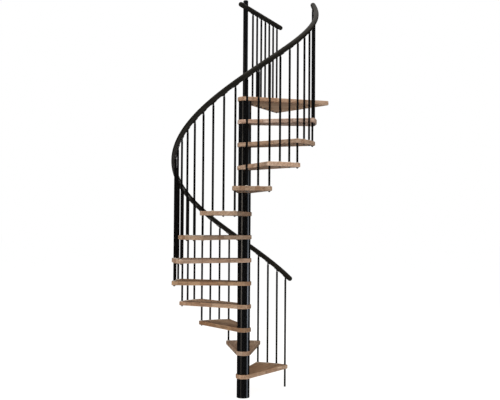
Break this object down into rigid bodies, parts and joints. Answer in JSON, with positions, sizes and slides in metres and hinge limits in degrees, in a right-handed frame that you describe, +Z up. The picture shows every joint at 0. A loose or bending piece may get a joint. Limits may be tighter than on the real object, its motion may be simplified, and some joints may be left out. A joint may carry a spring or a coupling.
{
  "type": "spiral staircase",
  "caption": "Spiral staircase with wooden wedge treads round a steel column, a small landing, upright balusters, a helical handrail and a landing guard.",
  "frame": {"origin": "middle of the underside of the base plate, on the column axis", "axes": "+Z up along the column; -Y towards the viewer of the picture; +X to the right"},
  "size_m": [1.5566, 1.5836, 3.907],
  "materials": {
    "wood": "satin varnish",
    "black_steel": "satin",
    "handrail": "satin",
    "brackets": "satin",
    "nuts": "dull zinc",
    "collars": "satin",
    "joint": "matte"
  },
  "bodies": {
    "root": {"tread_01": "wood", "tread_02": "wood", "tread_03": "wood", "tread_04": "wood", "tread_05": "wood", "tread_06": "wood", "tread_07": "wood", "tread_08": "wood", "tread_09": "wood", "tread_10": "wood", "tread_11": "wood", "tread_12": "wood", "landing": "wood", "base_plate": "black_steel", "column_spacers": "black_steel", "centre_pole": "black_steel", "post_cap": "black_steel", "corner_balusters": "black_steel", "infill_balusters": "black_steel", "guard_balusters": "black_steel", "handrail_01": "handrail", "handrail_02": "handrail", "handrail_03": "handrail", "handrail_04": "handrail", "handrail_05": "handrail", "handrail_06": "handrail", "handrail_07": "handrail", "handrail_08": "handrail", "handrail_09": "handrail", "handrail_10": "handrail", "handrail_11": "handrail", "handrail_end_caps": "handrail", "guard_rail": "handrail", "guard_end_caps": "handrail", "handrail_joint_rings": "joint", "handrail_brackets": "brackets", "guard_brackets": "brackets", "baluster_nuts": "nuts", "baluster_collars": "collars"}
  },
  "joints": []
}
